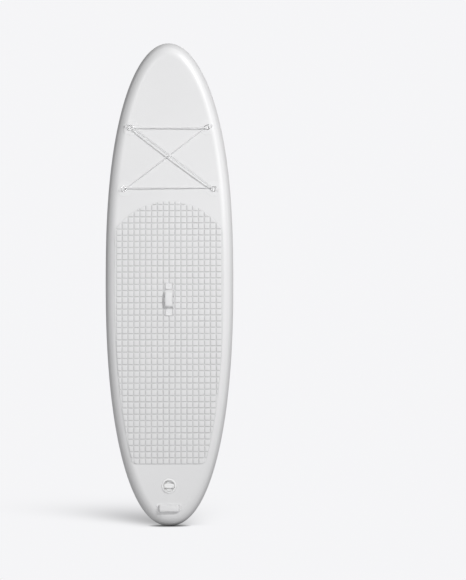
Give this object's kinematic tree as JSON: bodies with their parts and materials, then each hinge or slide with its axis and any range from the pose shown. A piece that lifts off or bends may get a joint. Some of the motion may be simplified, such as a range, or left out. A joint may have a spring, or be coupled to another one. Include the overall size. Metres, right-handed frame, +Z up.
{
  "type": "stand up paddleboard",
  "caption": "Inflatable stand up paddleboard with grooved traction pad, carry and tail handles, bungee cargo net on tilting D-rings, capped air valve and sliding centre fin between side fins.",
  "frame": {"origin": "middle of the whole board's box, at the tail's lowest point", "axes": "+Z up the board from tail to nose, the deck faces -Y and the fins point to +Y, +X to the right as seen from the deck side"},
  "size_m": [0.813, 0.5222, 3.0476],
  "materials": {
    "pvc_skin": "matt white PVC-coated fabric with a fine weave showing through",
    "pvc_patch": "matt white PVC patches, glued flat",
    "base_weave": "woven polyester base cloth, inside",
    "stitch_thread": "polyester drop-stitch threads, inside",
    "rail_wall": "PVC wall tape, inside",
    "eva_foam": "soft grey EVA foam with square grooves",
    "webbing": "woven nylon webbing with a light sheen",
    "grip_cloth": "padded neoprene sleeve, fine knit",
    "white_plastic": "moulded white plastic, satin",
    "fin_plastic": "moulded light grey plastic, satin",
    "cord": "braided sheath over elastic core",
    "ring_steel": "stainless steel wire, polished",
    "steel": "stainless steel",
    "brass": "bare brass",
    "seal_rubber": "black rubber"
  },
  "bodies": {
    "board": {"deck_skin": "pvc_skin", "bottom_skin": "pvc_skin", "deck_weave": "base_weave", "bottom_weave": "base_weave", "drop_stitch_threads": "stitch_thread", "inner_rail_wall": "rail_wall", "outer_rail_band": "pvc_skin", "traction_pad": "eva_foam", "carry_handle_patches": "pvc_patch", "carry_handle_webbing": "webbing", "carry_handle_grip": "grip_cloth", "carry_handle_tabs": "white_plastic", "tail_handle_patch": "pvc_patch", "tail_handle_webbing": "webbing", "tail_handle_grip": "grip_cloth", "cargo_patches": "pvc_patch", "cargo_ring_tabs": "webbing", "bungee_cord": "cord", "valve_housing": "white_plastic", "valve_gasket": "seal_rubber", "valve_clamp_nut": "white_plastic", "valve_spring": "steel", "valve_tether_strap": "white_plastic", "fin_box_patch": "pvc_patch", "fin_box": "fin_plastic", "side_fin_patches": "pvc_patch", "left_side_fin": "fin_plastic", "right_side_fin": "fin_plastic"},
    "cargo_ring_top_left_body": {"cargo_ring_top_left": "ring_steel"},
    "cargo_ring_top_right_body": {"cargo_ring_top_right": "ring_steel"},
    "cargo_ring_bottom_left_body": {"cargo_ring_bottom_left": "ring_steel"},
    "cargo_ring_bottom_right_body": {"cargo_ring_bottom_right": "ring_steel"},
    "valve_cap_carrier": {"valve_tether_ring": "white_plastic"},
    "valve_cap_body": {"valve_cap": "white_plastic", "valve_cap_o_ring": "seal_rubber"},
    "valve_seal": {"valve_seal_disc": "seal_rubber", "valve_seal_clip": "white_plastic"},
    "valve_stem_body": {"valve_stem": "white_plastic"},
    "fin_carriage": {"centre_fin": "fin_plastic", "fin_pin": "brass", "fin_plate_nut": "brass"},
    "fin_screw_body": {"fin_screw": "steel"}
  },
  "joints": [
    {"name": "ring_top_left_tilt", "type": "hinge", "parent": "board", "child": "cargo_ring_top_left_body", "pos_m": [-0.25527, -0.1702, 2.51847], "axis": [-0.3181, 0.1272, -0.9395], "range_deg": [0, 45], "deforming": ["bungee_cord"]},
    {"name": "ring_top_right_tilt", "type": "hinge", "parent": "board", "child": "cargo_ring_top_right_body", "pos_m": [0.25527, -0.1702, 2.51847], "axis": [-0.3181, -0.1272, 0.9395], "range_deg": [0, 45], "deforming": ["bungee_cord"]},
    {"name": "ring_bottom_left_tilt", "type": "hinge", "parent": "board", "child": "cargo_ring_bottom_left_body", "pos_m": [-0.29627, -0.14181, 2.12236], "axis": [0.3181, 0.0137, -0.948], "range_deg": [0, 45], "deforming": ["bungee_cord"]},
    {"name": "ring_bottom_right_tilt", "type": "hinge", "parent": "board", "child": "cargo_ring_bottom_right_body", "pos_m": [0.29627, -0.14181, 2.12236], "axis": [0.3181, -0.0137, 0.948], "range_deg": [0, 45], "deforming": ["bungee_cord"]},
    {"name": "valve_cap_lift", "type": "slide", "parent": "board", "child": "valve_cap_carrier", "axis": [0, -1, 0], "range_m": [0, 0.075], "deforming": ["valve_tether_strap"]},
    {"name": "valve_cap_turn", "type": "hinge", "parent": "valve_cap_carrier", "child": "valve_cap_body", "pos_m": [0, -0.13584, 0.254], "axis": [0, -1, 0], "range_deg": [0, 90]},
    {"name": "valve_stem_push", "type": "slide", "parent": "board", "child": "valve_seal", "axis": [0, 1, 0], "range_m": [0, 0.0055], "stiffness_N_per_m": 40, "deforming": ["valve_spring"]},
    {"name": "valve_stem_turn", "type": "hinge", "parent": "valve_seal", "child": "valve_stem_body", "pos_m": [0, -0.13584, 0.254], "axis": [0, -1, 0], "range_deg": [0, 90]},
    {"name": "fin_slide", "type": "slide", "parent": "board", "child": "fin_carriage", "axis": [0, 0, 1], "range_m": [-0.03, 0.03]},
    {"name": "fin_screw_turn", "type": "hinge", "parent": "fin_carriage", "child": "fin_screw_body", "pos_m": [0, 0.04116, 0.409], "axis": [0, 1, 0], "continuous": true}
  ]
}
